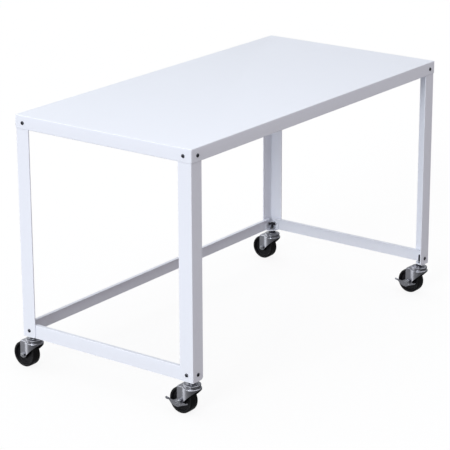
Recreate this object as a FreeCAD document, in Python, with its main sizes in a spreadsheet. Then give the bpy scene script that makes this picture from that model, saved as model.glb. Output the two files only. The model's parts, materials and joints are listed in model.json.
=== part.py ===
import FreeCAD, Part
import math
import os
import Sketcher
from FreeCAD import Placement, Rotation, Vector

# Steel sewing table on four swivel casters, in millimetres.
# Frame: X along the length (to the right seen from the open front), Y to the rear,
# Z up, origin on the floor under the centre of the whole table's box. The casters trail
# to the rear, so the centre of the top lies a little in front of the origin.

DIMENSIONS = [
    # alias, value, meaning
    ("top_length", 1219.2, "top, along X"),
    ("top_depth", 609.6, "top, along Y"),
    ("top_height", 749.3, "worktop above the floor"),
    ("top_sheet", 1.9, "sheet of the top pan"),
    ("apron_height", 39.0, "turned-down edge of the top pan"),
    ("apron_lip", 10.0, "return flange under the apron"),
    ("bend_radius", 2.5, "outer radius of the pan's bends"),
    ("corner_radius", 3.0, "ground corner of the pan"),
    ("stiffener_length", 1080.0, "hat channel under the top, along X"),
    ("stiffener_width", 60.0, "hat channel, outside its webs"),
    ("stiffener_flange", 15.0, "hat channel's glued flange"),
    ("stiffener_drop", 20.0, "hat channel's depth"),
    ("stiffener_sheet", 1.5, "hat channel's sheet"),
    ("leg_bottom", 99.0, "foot of the legs above the floor"),
    ("leg_flange", 44.0, "width of each flange of the angle leg"),
    ("leg_sheet", 3.0, "thickness of the angle leg"),
    ("leg_corner", 1.2, "outer corner radius of the angle leg"),
    ("leg_root", 3.0, "inner corner radius of the angle leg"),
    ("leg_clip", 5.5, "clipped free corner at the foot of each flange"),
    ("rail_height", 39.0, "web of the lower rails"),
    ("rail_flange", 12.0, "top flange of the lower rails"),
    ("rail_sheet", 1.5, "sheet of the lower rails"),
    ("rail_gap", 2.0, "gap between the ends of two rails"),
    ("rail_notch", 18.0, "top flange cut back at each end"),
    ("rail_bend", 2.5, "outer bend radius of the rails"),
    ("bracket_reach", 31.0, "foot bracket, along each side"),
    ("bracket_corner", 2.5, "foot bracket, outer corner"),
    ("bracket_round", 25.0, "foot bracket, rounded inner corner"),
    ("bracket_sheet", 2.5, "foot bracket's sheet"),
    ("bracket_wall", 30.0, "foot bracket's upright walls"),
    ("bracket_wall_round", 8.0, "top corner of the walls"),
    ("bracket_hole", 10.0, "oversize screw hole in the walls"),
    ("stem_in", 16.2, "stem axis from the bracket's outer faces"),
    ("screw_hole", 7.0, "hole for the frame screws"),
    ("screw_shank", 6.35, "frame screw"),
    ("screw_head", 10.8, "diameter of the screw head"),
    ("screw_dome", 3.2, "height of the screw head"),
    ("screw_recess", 4.6, "driver recess, across flats"),
    ("screw_past_nut", 1.5, "screw end standing out of its nut"),
    ("nut_flats", 11.1, "frame nut, across flats"),
    ("nut_height", 5.5, "frame nut"),
    ("foot_screw_in", 22.0, "foot screws from the leg's outer corner"),
    ("foot_screw_up", 19.5, "foot screws above the foot of the leg"),
    ("top_screw_in", 25.0, "top screws from the leg's outer corner"),
    ("top_screw_down", 21.0, "top screws below the worktop"),
    ("stem_size", 7.94, "threaded stem"),
    ("stem_rise", 27.0, "stem end above the foot of the leg"),
    ("stem_nut_flats", 12.7, "stem nut, across flats"),
    ("stem_nut_height", 6.6, "stem nut"),
    ("collar_flats", 17.5, "hex collar of the stem, across flats"),
    ("collar_height", 7.5, "hex collar of the stem"),
    ("kingpin_size", 10.0, "pin that the fork turns on"),
    ("pin_head_size", 16.0, "riveted head under the fork"),
    ("pin_head_height", 2.0, "riveted head under the fork"),
    ("race_washer_size", 18.0, "washer under the fork's crown"),
    ("race_washer_height", 1.85, "washer under the fork's crown"),
    ("cap_size", 49.0, "upper race cap"),
    ("cap_height", 7.2, "upper race cap"),
    ("race_gap", 0.8, "between the crown and the cap"),
    ("race_size", 30.0, "pitch circle of the race balls"),
    ("ball_size", 3.0, "race ball"),
    ("fork_top", 79.5, "top of the fork's plate above the floor"),
    ("fork_circle", 26.7, "radius of the fork's round crown"),
    ("fork_half", 17.5, "half the width outside the fork's legs"),
    ("fork_sheet", 2.0, "sheet of the fork"),
    ("fork_neck", 2.5, "radius where the crown meets the legs"),
    ("fork_bend", 2.8, "radius of the fork's top bend"),
    ("fork_boss", 9.6, "radius of the fork's leg round the axle"),
    ("fork_slope", 43.0, "slope of the fork's lower edge, degrees"),
    ("crown_dome", 22.5, "radius of the raised ball race"),
    ("crown_rise", 4.0, "height of the raised ball race"),
    ("crown_round", 1.6, "edge radius of the raised ball race"),
    ("trail", 29.0, "axle behind the stem"),
    ("wheel_size", 76.2, "wheel diameter"),
    ("wheel_width", 28.6, "wheel across its tread"),
    ("tread_flat", 10.8, "half the flat width of the tread"),
    ("tread_edge", 36.2, "radius at the tread's shoulder"),
    ("rim_inner", 30.0, "inner radius of the rim"),
    ("web_half", 6.5, "half the thickness of the wheel's web"),
    ("hub_radius", 11.5, "radius of the hub"),
    ("hub_half", 15.1, "half the length of the hub"),
    ("bushing_size", 11.8, "steel bushing, outside"),
    ("axle_size", 7.94, "axle bolt"),
    ("axle_head", 13.0, "round head of the axle bolt"),
    ("axle_head_height", 2.6, "round head of the axle bolt"),
    ("axle_nut_flats", 12.7, "axle nut, across flats"),
    ("axle_nut_height", 4.6, "axle nut"),
    ("axle_past_nut", 1.2, "axle end standing out of its nut"),
    ("running_gap", 0.08, "radial clearance of turning fits"),
    ("lever_sheet", 2.0, "brake lever's sheet"),
    ("lever_gap", 0.3, "brake lever's side clearance"),
    ("pedal_out", 7.0, "pedal of the brake lever, outwards"),
    ("pedal_round", 4.0, "rounded corners of the pedal"),
    ("tab_out", 6.0, "front tab of the brake lever, outwards"),
]

# name: side along X, side along Y, quarter turns of the corner pieces
CORNERS = {
    "front_left": (-1, -1, 0),
    "front_right": (1, -1, 1),
    "rear_right": (1, 1, 2),
    "rear_left": (-1, 1, 3),
}
BRAKED = ("front_left", "front_right")
BALLS_IN_RACE = 16
HEX_SIDES = 6

# Outline of the brake lever's plate as (Y, Z) from the axle, round the edge from its front tip.
LEVER_OUTLINE = [
    (-30.0, -2.4), (-26.0, -1.0), (-22.7, 0.0), (-16.4, 0.6), (-10.5, -4.7), (-7.0, -7.2),
    (-7.0, -2.0), (-5.0, 5.0), (0.0, 7.2), (5.0, 6.6), (10.0, 4.4), (19.0, -1.5),
    (31.0, -1.0), (34.0, 0.0), (45.0, 2.8), (45.0, 0.8), (34.0, -6.8), (29.0, -13.0),
    (19.0, -18.0), (7.0, -19.7), (-7.0, -13.0), (-24.0, -6.8),
]
LEVER_PEDAL = [(34.0, 0.0), (45.0, 2.8), (45.0, 0.8), (34.5, -1.9)]
LEVER_TAB = [(-25.0, -0.7), (-22.7, 0.0), (-16.4, 0.6), (-13.4, -2.1), (-14.6, -3.2), (-17.0, -1.1),
             (-22.7, -1.7), (-24.6, -2.3)]

doc = FreeCAD.newDocument("sewing_table")
sheet = doc.addObject("Spreadsheet::Sheet", "Dimensions")


class Size:
    """A number together with the spreadsheet formula that gives it."""

    def __init__(self, value, formula):
        self.value = value
        self.formula = formula

    def __add__(self, other):
        other = as_size(other)
        return Size(self.value + other.value, f"({self.formula} + {other.formula})")

    def __sub__(self, other):
        other = as_size(other)
        return Size(self.value - other.value, f"({self.formula} - {other.formula})")

    def __mul__(self, other):
        other = as_size(other)
        return Size(self.value * other.value, f"({self.formula} * {other.formula})")

    def __truediv__(self, other):
        other = as_size(other)
        return Size(self.value / other.value, f"({self.formula} / {other.formula})")

    def __neg__(self):
        return Size(-self.value, f"(0 - {self.formula})")

    __radd__ = __add__
    __rmul__ = __mul__


def as_size(number):
    if isinstance(number, Size):
        return number
    return Size(float(number), f"({float(number)!r})")


def fill_sheet():
    """Write the driving dimensions to the sheet, one row each."""
    for row, (alias, value, meaning) in enumerate(DIMENSIONS, start=1):
        sheet.set(f"A{row}", alias)
        sheet.set(f"B{row}", str(value))
        sheet.set(f"C{row}", meaning)
        sheet.setAlias(f"B{row}", alias)
    doc.recompute()


class Sizes:
    """The sheet's values as named Size objects."""

    def __init__(self):
        for alias, value, _ in DIMENSIONS:
            setattr(self, alias, Size(float(sheet.get(alias)), f"Dimensions.{alias}"))


fill_sheet()
d = Sizes()

WHEEL_RADIUS = d.wheel_size / 2
DOME_TOP = d.fork_top + d.crown_rise
CAP_LOW = DOME_TOP + d.race_gap
COLLAR_LOW = d.leg_bottom - d.collar_height
BALL_LEVEL = DOME_TOP + d.race_gap / 2
LEG_INSET = d.top_sheet
LEG_X = d.top_length / 2 - LEG_INSET
LEG_Y = d.top_depth / 2 - LEG_INSET
BEHIND_RAIL = d.leg_sheet + d.rail_sheet
ORIGIN_BACK = (d.trail + WHEEL_RADIUS - d.fork_circle - d.rail_sheet) / 2


# ---------------------------------------------------------------- helpers

def bind(thing, prop, amount):
    """Set a property and tie it to the sheet."""
    amount = as_size(amount)
    setattr(thing, prop, amount.value)
    thing.setExpression(prop, amount.formula)


def place_at(thing, x, y, z, rotation):
    """Place a sub-part at x, y, z from the point under the centre of the top."""
    place = [as_size(x), as_size(y) - ORIGIN_BACK, as_size(z)]
    thing.Placement = Placement(Vector(*[p.value for p in place]), rotation)
    for axis, amount in zip("xyz", place):
        thing.setExpression(f"Placement.Base.{axis}", amount.formula)
    return thing


def move(thing, x=0.0, y=0.0, z=0.0, turn=0.0):
    """Place a sub-part turned about Z."""
    return place_at(thing, x, y, z, Rotation(Vector(0, 0, 1), turn))


def new_body(label):
    body = doc.addObject("PartDesign::Body", label)
    body.Label = label
    return body


def new_sketch(body, role, offset=0.0):
    """A sketch on one of the body's own origin planes, moved along its normal."""
    sketch = body.newObject("Sketcher::SketchObject", "Sketch")
    plane = [f for f in body.Origin.OriginFeatures if f.Role == role][0]
    sketch.AttachmentSupport = [(plane, "")]
    sketch.MapMode = "FlatFace"
    offset = as_size(offset)
    sketch.AttachmentOffset = Placement(Vector(0, 0, offset.value), Rotation())
    sketch.setExpression("AttachmentOffset.Base.z", offset.formula)
    return sketch


def locate(sketch, geometry, point, x, y):
    """Tie one point of a sketch to its coordinates from the origin."""
    for kind, axis, amount in (("DistanceX", -2, as_size(x)), ("DistanceY", -1, as_size(y))):
        if abs(amount.value) < 1e-9:
            sketch.addConstraint(Sketcher.Constraint("PointOnObject", geometry, point, axis))
            continue
        rule = Sketcher.Constraint(kind, -1, 1, geometry, point, amount.value)
        index = sketch.addConstraint(rule)
        sketch.setExpression(f"Constraints[{index}]", amount.formula)


def outline(sketch, points):
    """A closed outline of straight edges through the points."""
    points = [(as_size(x), as_size(y)) for x, y in points]
    spots = [Vector(x.value, y.value, 0) for x, y in points]
    first = sketch.GeometryCount
    count = len(points)
    for i in range(count):
        sketch.addGeometry(Part.LineSegment(spots[i], spots[(i + 1) % count]))
    for i in range(count):
        after = first + (i + 1) % count
        sketch.addConstraint(Sketcher.Constraint("Coincident", first + i, 2, after, 1))
        locate(sketch, first + i, 1, *points[i])


def rectangle(sketch, x0, y0, x1, y1):
    outline(sketch, [(x0, y0), (x1, y0), (x1, y1), (x0, y1)])


def circle(sketch, x, y, radius):
    x, y, radius = as_size(x), as_size(y), as_size(radius)
    round_edge = Part.Circle(Vector(x.value, y.value, 0), Vector(0, 0, 1), radius.value)
    geometry = sketch.addGeometry(round_edge)
    locate(sketch, geometry, 3, x, y)
    index = sketch.addConstraint(Sketcher.Constraint("Radius", geometry, radius.value))
    sketch.setExpression(f"Constraints[{index}]", radius.formula)


def hexagon(sketch, x, y, flats):
    corner = as_size(flats) / math.sqrt(3)
    angles = [math.pi * i / 3 for i in range(HEX_SIDES)]
    outline(sketch, [(corner * math.cos(a) + x, corner * math.sin(a) + y) for a in angles])


def finish_feature(body, feature):
    body.Tip = feature
    doc.recompute()
    return feature


def pad(body, sketch, length, back=False, both=False):
    feature = body.newObject("PartDesign::Pad", "Pad")
    feature.Profile = sketch
    bind(feature, "Length", length)
    feature.Reversed = back
    feature.SideType = "Symmetric" if both else "One side"
    return finish_feature(body, feature)


def pocket(body, sketch, length=None, back=False):
    """Cut to a depth, or right through both ways when no depth is given."""
    before = body.Shape.Volume
    feature = body.newObject("PartDesign::Pocket", "Pocket")
    feature.Profile = sketch
    if length is None:
        feature.Type = "ThroughAll"
        feature.SideType = "Symmetric"
    else:
        bind(feature, "Length", length)
        feature.Reversed = back
    finish_feature(body, feature)
    if body.Shape.Volume > before - 0.01:
        raise RuntimeError(f"a pocket of {body.Label} cuts nothing")
    return feature


def turn_round(body, kind, sketch, axis):
    """Revolve a sketch by a full turn about its own H_Axis or V_Axis."""
    feature = body.newObject(f"PartDesign::{kind}", kind)
    feature.Profile = sketch
    feature.ReferenceAxis = (sketch, [axis])
    feature.Angle = 360.0
    return finish_feature(body, feature)


def fillet(body, radius, choose):
    """Round the edges for which choose(edge) is true."""
    base = body.Tip
    names = [f"Edge{i}" for i, e in enumerate(base.Shape.Edges, start=1) if choose(e)]
    if not names:
        raise RuntimeError(f"{body.Label} has no edge to round")
    feature = body.newObject("PartDesign::Fillet", "Fillet")
    feature.Base = (base, names)
    bind(feature, "Radius", radius)
    return finish_feature(body, feature)


def spans(edge, axis):
    """Length of an edge's box along an axis."""
    box = edge.BoundBox
    return {"x": box.XLength, "y": box.YLength, "z": box.ZLength}[axis]


def at_level(edge, level):
    return edge.BoundBox.ZLength < 1e-3 and abs(edge.BoundBox.ZMin - level) < 1e-3


def at_point(edge, axes, spot):
    """The edge's middle is at the spot, measured along the two axes."""
    centre = edge.BoundBox.Center
    return all(abs(getattr(centre, a) - s) < 0.05 for a, s in zip(axes, spot))


def group(label, members):
    """Identical pieces as one node of separate solids."""
    compound = doc.addObject("Part::Compound", label)
    compound.Label = label
    compound.Links = members
    doc.recompute()
    return compound


# ---------------------------------------------------------------- frame

def make_top_panel():
    """Worktop pan: flat sheet, four turned-down edges and their return flanges."""
    body = new_body("top_panel")
    low = d.top_height - d.apron_height
    half_x, half_y = d.top_length / 2, d.top_depth / 2
    base = new_sketch(body, "XY_Plane", low)
    rectangle(base, -half_x, -half_y, half_x, half_y)
    pad(body, base, d.apron_height)
    fillet(body, d.corner_radius, lambda e: spans(e, "z") > 1.0)
    levels = (low.value, d.top_height.value)
    fillet(body, d.bend_radius, lambda e: any(at_level(e, v) for v in levels))

    hollow = new_sketch(body, "XY_Plane", d.top_height - d.top_sheet)
    in_x, in_y = half_x - d.top_sheet, half_y - d.top_sheet
    rectangle(hollow, -in_x, -in_y, in_x, in_y)
    pocket(body, hollow, d.apron_height - d.top_sheet * 2)

    mouth = new_sketch(body, "XY_Plane", low)
    open_x, open_y = half_x - d.apron_lip, half_y - d.apron_lip
    rectangle(mouth, -open_x, -open_y, open_x, open_y)
    pocket(body, mouth, d.top_sheet, back=True)

    notches = new_sketch(body, "XY_Plane", low)
    reach = d.leg_flange + 1.0
    for side_x, side_y, _ in CORNERS.values():
        x, y = in_x * side_x, in_y * side_y
        rectangle(notches, x, y, x - reach * side_x, y - reach * side_y)
    pocket(body, notches, d.top_sheet, back=True)

    for role, far in (("XZ_Plane", LEG_X), ("YZ_Plane", LEG_Y)):
        holes = new_sketch(body, role)
        for side in (-1, 1):
            across = (far - d.top_screw_in) * side
            circle(holes, across, d.top_height - d.top_screw_down, d.screw_hole / 2)
        pocket(body, holes)
    return move(body)


def make_stiffener():
    """Hat channel bonded under the worktop, along its length."""
    body = new_body("top_stiffener")
    half, thick = d.stiffener_width / 2, d.stiffener_sheet
    wide = half + d.stiffener_flange
    high = d.top_height - d.top_sheet
    low = high - d.stiffener_drop
    section = new_sketch(body, "YZ_Plane")
    outline(section, [
        (-wide, high), (thick - half, high), (thick - half, low + thick),
        (half - thick, low + thick), (half - thick, high), (wide, high),
        (wide, high - thick), (half, high - thick), (half, low),
        (-half, low), (-half, high - thick), (-wide, high - thick),
    ])
    pad(body, section, d.stiffener_length, both=True)
    return move(body)


def make_leg(corner):
    """Steel angle, its outer corner on its own Z axis, flanges along X and Y."""
    side_x, side_y, turns = CORNERS[corner]
    body = new_body(f"leg_{corner}")
    length = d.top_height - d.top_sheet - d.leg_bottom
    wide, thick = d.leg_flange, d.leg_sheet
    section = new_sketch(body, "XY_Plane")
    outline(section, [(0, 0), (wide, 0), (wide, thick), (thick, thick), (thick, wide), (0, wide)])
    pad(body, section, length)
    fillet(body, d.leg_corner, lambda e: spans(e, "z") > 1 and at_point(e, "xy", (0, 0)))
    root = (thick.value, thick.value)
    fillet(body, d.leg_root, lambda e: spans(e, "z") > 1 and at_point(e, "xy", root))
    for role in ("XZ_Plane", "YZ_Plane"):
        holes = new_sketch(body, role)
        circle(holes, d.foot_screw_in, d.foot_screw_up, d.screw_hole / 2)
        top_hole = length + d.top_sheet - d.top_screw_down
        circle(holes, d.top_screw_in, top_hole, d.screw_hole / 2)
        outline(holes, [(wide - d.leg_clip, 0), (wide + 1, 0), (wide + 1, d.leg_clip + 1)])
        pocket(body, holes)
    return move(body, LEG_X * side_x, LEG_Y * side_y, d.leg_bottom, 90.0 * turns)


def make_rail(side, half_span, screw_at, x, y, turn):
    """Lower rail: upright web with a top flange turned inwards, along its own X."""
    body = new_body(f"rail_{side}")
    thick, high, wide = d.rail_sheet, d.rail_height, d.rail_flange
    section = new_sketch(body, "YZ_Plane")
    outline(section, [
        (0, 0), (thick, 0), (thick, high - thick), (wide, high - thick), (wide, high), (0, high),
    ])
    pad(body, section, half_span * 2, both=True)
    edge = (0, high.value)
    fillet(body, d.rail_bend, lambda e: spans(e, "x") > 100 and at_point(e, "yz", edge))
    notches = new_sketch(body, "XY_Plane", high + 1)
    for end in (-1, 1):
        inner = (half_span - d.rail_notch) * end
        rectangle(notches, inner, d.rail_bend, (half_span + 1) * end, wide + 1)
    pocket(body, notches, thick + 2)
    holes = new_sketch(body, "XZ_Plane")
    for end in (-1, 1):
        circle(holes, screw_at * end, d.foot_screw_up, d.screw_hole / 2)
    pocket(body, holes)
    return move(body, x, y, d.leg_bottom, turn)


def make_rails():
    """Two end rails and the rear rail; the front stays open."""
    setback = BEHIND_RAIL + d.rail_gap
    web_x, web_y = LEG_X - d.leg_sheet, LEG_Y - d.leg_sheet
    end = (LEG_Y - setback, LEG_Y - d.foot_screw_in)
    long = (LEG_X - setback, LEG_X - d.foot_screw_in)
    return [
        make_rail("left", *end, -web_x, 0, -90.0),
        make_rail("right", *end, web_x, 0, 90.0),
        make_rail("rear", *long, 0, web_y, 180.0),
    ]


def bracket_spot(corner):
    """Outer corner of a foot bracket: behind both rails, or behind the leg at the front."""
    side_x, side_y, _ = CORNERS[corner]
    behind = BEHIND_RAIL if side_y > 0 else d.leg_sheet
    return (LEG_X - BEHIND_RAIL) * side_x, (LEG_Y - behind) * side_y


def stem_spot(corner):
    """Axis of a caster's stem."""
    side_x, side_y, _ = CORNERS[corner]
    x, y = bracket_spot(corner)
    return x - d.stem_in * side_x, y - d.stem_in * side_y


def make_bracket(corner):
    """Foot bracket: plate under the stem nut and two walls screwed to the leg."""
    body = new_body(f"bracket_{corner}")
    reach, thick = d.bracket_reach, d.bracket_sheet
    plate = new_sketch(body, "XY_Plane")
    rectangle(plate, 0, 0, reach, reach)
    pad(body, plate, thick)
    inner = (reach.value, reach.value)
    fillet(body, d.bracket_round, lambda e: spans(e, "z") > 1 and at_point(e, "xy", inner))
    for x, y in ((reach, thick), (thick, reach)):
        wall = new_sketch(body, "XY_Plane")
        rectangle(wall, 0, 0, x, y)
        pad(body, wall, d.bracket_wall)
    fillet(body, d.bracket_corner, lambda e: spans(e, "z") > 1 and at_point(e, "xy", (0, 0)))
    far, high = reach.value, d.bracket_wall.value
    for axis, across in (("y", "xz"), ("x", "yz")):
        fillet(body, d.bracket_wall_round,
               lambda e: spans(e, axis) > 1 and spans(e, axis) < 3
               and at_point(e, across, (far, high)))
    for role in ("XZ_Plane", "YZ_Plane"):
        holes = new_sketch(body, role)
        circle(holes, d.foot_screw_in - BEHIND_RAIL, d.foot_screw_up, d.bracket_hole / 2)
        pocket(body, holes)
    hole = new_sketch(body, "XY_Plane")
    circle(hole, d.stem_in, d.stem_in, d.stem_size / 2 + 0.1)
    pocket(body, hole)
    x, y = bracket_spot(corner)
    return move(body, x, y, d.leg_bottom, 90.0 * CORNERS[corner][2])


# ---------------------------------------------------------------- fasteners

def upright_pose(thing, x, y, z, outward):
    """Point a fastener's own +Z along the outward direction, at x, y, z."""
    return place_at(thing, x, y, z, Rotation(Vector(0, 0, 1), Vector(*outward)))


def make_screw(label, grip):
    """Domed screw: underside of the head at Z 0, shank downwards."""
    body = new_body(label)
    head, dome, shank = d.screw_head / 2, d.screw_dome, d.screw_shank / 2
    end = -(grip + d.nut_height + d.screw_past_nut)
    profile = new_sketch(body, "XZ_Plane")
    outline(profile, [
        (0, end), (shank - 0.6, end), (shank, end + 0.6), (shank, 0), (head, 0),
        (head, 0.8), (head - 1.2, dome - 0.6), (head - 2.6, dome), (0, dome),
    ])
    turn_round(body, "Revolution", profile, "V_Axis")
    recess = new_sketch(body, "XY_Plane", dome)
    hexagon(recess, 0, 0, d.screw_recess)
    pocket(body, recess, 1.8)
    return body


def make_nut(label, flats, height, bore):
    """Hex nut from Z 0 upwards."""
    body = new_body(label)
    plan = new_sketch(body, "XY_Plane")
    hexagon(plan, 0, 0, flats)
    pad(body, plan, height)
    hole = new_sketch(body, "XY_Plane")
    circle(hole, 0, 0, bore)
    pocket(body, hole)
    return body


def fastener_row(kind, inward, height, face, grip_of):
    """Screws and nuts of one kind: two per corner, one through each flange."""
    screws, nuts = [], []
    for corner, (side_x, side_y, _) in CORNERS.items():
        for axis in "xy":
            grip = grip_of(corner, axis)
            out = (side_x, 0, 0) if axis == "x" else (0, side_y, 0)
            if axis == "x":
                spot = [(LEG_X + face) * side_x, (LEG_Y - inward) * side_y]
                back = [spot[0] - grip * side_x, spot[1]]
            else:
                spot = [(LEG_X - inward) * side_x, (LEG_Y + face) * side_y]
                back = [spot[0], spot[1] - grip * side_y]
            number = len(screws) + 1
            screw = make_screw(f"{kind}_screw_{number}", grip)
            screws.append(upright_pose(screw, *spot, height, out))
            nut = make_nut(f"{kind}_nut_{number}", d.nut_flats, d.nut_height, d.screw_shank / 2)
            nuts.append(upright_pose(nut, *back, height, [-v for v in out]))
    return [group(f"{kind}_screws", screws), group(f"{kind}_nuts", nuts)]


def foot_grip(corner, axis):
    """Sheets under a foot screw: leg, bracket, and the rail where there is one."""
    railed = axis == "x" or corner.startswith("rear")
    return d.leg_sheet + d.bracket_sheet + (d.rail_sheet if railed else 0.0)


def make_fasteners():
    top_level = d.top_height - d.top_screw_down
    foot_level = d.leg_bottom + d.foot_screw_up
    top = fastener_row("top", d.top_screw_in, top_level, d.top_sheet,
                       lambda corner, axis: d.top_sheet + d.leg_sheet)
    foot = fastener_row("foot", d.foot_screw_in, foot_level, as_size(0.0), foot_grip)
    nuts = []
    for corner in CORNERS:
        nut = make_nut(f"stem_nut_{corner}", d.stem_nut_flats, d.stem_nut_height, d.stem_size / 2)
        nuts.append(move(nut, *stem_spot(corner), d.leg_bottom + d.bracket_sheet))
    return top + foot + [group("stem_nuts", nuts)]


# ---------------------------------------------------------------- casters

def make_stem(corner):
    """Threaded stem, hex collar and the riveted pin that holds the fork."""
    body = new_body(f"caster_stem_{corner}")
    pin, head, stem = d.kingpin_size / 2, d.pin_head_size / 2, d.stem_size / 2
    seat = DOME_TOP - d.fork_sheet - d.race_washer_height - 0.05
    low = seat - d.pin_head_height
    end = d.leg_bottom + d.stem_rise
    profile = new_sketch(body, "XZ_Plane")
    outline(profile, [
        (0, low), (head - 1, low), (head, low + 1), (head, seat), (pin, seat),
        (pin, COLLAR_LOW), (stem, COLLAR_LOW + 1), (stem, end - 1), (stem - 1, end), (0, end),
    ])
    turn_round(body, "Revolution", profile, "V_Axis")
    collar = new_sketch(body, "XY_Plane", COLLAR_LOW)
    hexagon(collar, 0, 0, d.collar_flats)
    pad(body, collar, d.collar_height)
    return move(body, *stem_spot(corner))


def make_cap(corner):
    """Pressed upper race, held between the collar and the balls."""
    body = new_body(f"race_cap_{corner}")
    rim, pin, low = d.cap_size / 2, d.kingpin_size / 2 + 0.05, CAP_LOW
    high = low + d.cap_height
    profile = new_sketch(body, "XZ_Plane")
    outline(profile, [
        (pin, low), (rim - 1, low), (rim, low + 1), (rim, low + 3.6), (rim - 1.2, low + 4.8),
        (rim - 9, low + 5.6), (rim - 13, high), (pin, high),
    ])
    turn_round(body, "Revolution", profile, "V_Axis")
    cut_ball_groove(body)
    return move(body, *stem_spot(corner))


def cut_ball_groove(body):
    """Ring groove that the race balls run in."""
    before = body.Shape.Volume
    track = new_sketch(body, "XZ_Plane")
    circle(track, d.race_size / 2, BALL_LEVEL, d.ball_size / 2 + 0.05)
    turn_round(body, "Groove", track, "V_Axis")
    if body.Shape.Volume > before - 0.01:
        raise RuntimeError(f"the ball groove of {body.Label} cuts nothing")


def make_race_washers():
    washers = []
    for corner in CORNERS:
        body = new_body(f"race_washer_{corner}")
        plan = new_sketch(body, "XY_Plane", DOME_TOP - d.fork_sheet - d.race_washer_height - 0.05)
        circle(plan, 0, 0, d.race_washer_size / 2)
        circle(plan, 0, 0, d.kingpin_size / 2)
        pad(body, plan, d.race_washer_height)
        washers.append(move(body, *stem_spot(corner)))
    return [group("race_washers", washers)]


def make_balls(corner):
    """Ring of steel balls between the crown and the cap."""
    x, y = stem_spot(corner)
    balls = []
    for i in range(BALLS_IN_RACE):
        angle = 2 * math.pi * i / BALLS_IN_RACE
        ball = doc.addObject("Part::Sphere", "ball")
        bind(ball, "Radius", d.ball_size / 2)
        ring = d.race_size / 2
        balls.append(move(ball, x + ring * math.cos(angle), y + ring * math.sin(angle), BALL_LEVEL))
    return group(f"race_balls_{corner}", balls)


def make_fork(corner):
    """Pressed fork: round crown with a raised ball race, two legs behind the stem."""
    body = new_body(f"fork_{corner}")
    half, thick, top = d.fork_half, d.fork_sheet, d.fork_top
    rear = d.trail + d.fork_boss
    slope = math.radians(d.fork_slope.value)
    fall = d.fork_boss * ((1 + math.sin(slope)) / math.cos(slope))
    tip = WHEEL_RADIUS - fall
    front = -(d.fork_circle + 10)
    front_level = tip + (rear - front) * math.tan(slope)

    crown = new_sketch(body, "XY_Plane")
    circle(crown, 0, 0, d.fork_circle)
    pad(body, crown, top)
    legs = new_sketch(body, "XY_Plane")
    rectangle(legs, -half, 0, half, rear)
    pad(body, legs, top)
    fillet(body, d.fork_neck, lambda e: spans(e, "z") > 20 and abs(abs(e.BoundBox.Center.x)
           - half.value) < 0.05 and e.BoundBox.Center.y < rear.value - 5)
    fillet(body, d.fork_bend, lambda e: at_level(e, top.value)
           and not at_point(e, "xy", (0, rear.value)))

    for shape in ("circle", "legs"):
        inside = new_sketch(body, "XY_Plane", top - thick)
        if shape == "circle":
            circle(inside, 0, 0, d.fork_circle - thick)
        else:
            rectangle(inside, thick - half, 0, half - thick, rear + 5)
        pocket(body, inside, top)

    dome = new_sketch(body, "XY_Plane", top - thick)
    circle(dome, 0, 0, d.crown_dome)
    pad(body, dome, thick + d.crown_rise)
    high = DOME_TOP.value
    fillet(body, d.crown_round, lambda e: at_level(e, high))
    under = new_sketch(body, "XY_Plane", top - thick)
    circle(under, 0, 0, d.crown_dome - thick)
    pocket(body, under, d.crown_rise, back=True)
    cut_ball_groove(body)
    hole = new_sketch(body, "XY_Plane")
    circle(hole, 0, 0, d.kingpin_size / 2 + d.running_gap)
    pocket(body, hole)

    side = new_sketch(body, "YZ_Plane")
    outline(side, [(front, front_level), (rear, tip), (rear + 10, tip), (rear + 10, -5), (front, -5)])
    pocket(body, side)
    corner_spot = (rear.value, tip.value)
    fillet(body, d.fork_boss - 0.01, lambda e: spans(e, "x") > 1 and at_point(e, "yz", corner_spot))
    axle = new_sketch(body, "YZ_Plane")
    circle(axle, d.trail, WHEEL_RADIUS, d.axle_size / 2 + 0.05)
    pocket(body, axle)
    return move(body, *stem_spot(corner))


def nut_face(corner):
    """Distance from the stem plane to the seat of the axle nut."""
    lever = d.lever_gap * 2 + d.lever_sheet
    return d.fork_half + (lever if corner in BRAKED else 0.0)


def make_axle(corner):
    """Axle bolt, round head on the right, from the left nut through both legs."""
    body = new_body(f"axle_bolt_{corner}")
    shank, head = d.axle_size / 2, d.axle_head / 2
    left = -(nut_face(corner) + d.axle_nut_height + d.axle_past_nut)
    right = d.fork_half + d.axle_head_height
    profile = new_sketch(body, "XZ_Plane")
    outline(profile, [
        (left, 0), (left, shank - 0.8), (left + 0.8, shank), (d.fork_half, shank),
        (d.fork_half, head), (d.fork_half + 0.6, head), (right, head - 2.4), (right, 0),
    ])
    turn_round(body, "Revolution", profile, "H_Axis")
    x, y = stem_spot(corner)
    return move(body, x, y + d.trail, WHEEL_RADIUS)


def make_axle_nut(corner):
    nut = make_nut(f"axle_nut_{corner}", d.axle_nut_flats, d.axle_nut_height, d.axle_size / 2)
    x, y = stem_spot(corner)
    return upright_pose(nut, x - nut_face(corner), y + d.trail, WHEEL_RADIUS, (-1, 0, 0))


def make_bushing(corner):
    """Steel tube clamped between the fork's legs; the wheel turns on it."""
    body = new_body(f"wheel_bushing_{corner}")
    plan = new_sketch(body, "YZ_Plane")
    circle(plan, 0, 0, d.bushing_size / 2)
    circle(plan, 0, 0, d.axle_size / 2 + 0.05)
    pad(body, plan, (d.fork_half - d.fork_sheet) * 2, both=True)
    x, y = stem_spot(corner)
    return move(body, x, y + d.trail, WHEEL_RADIUS)


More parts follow.
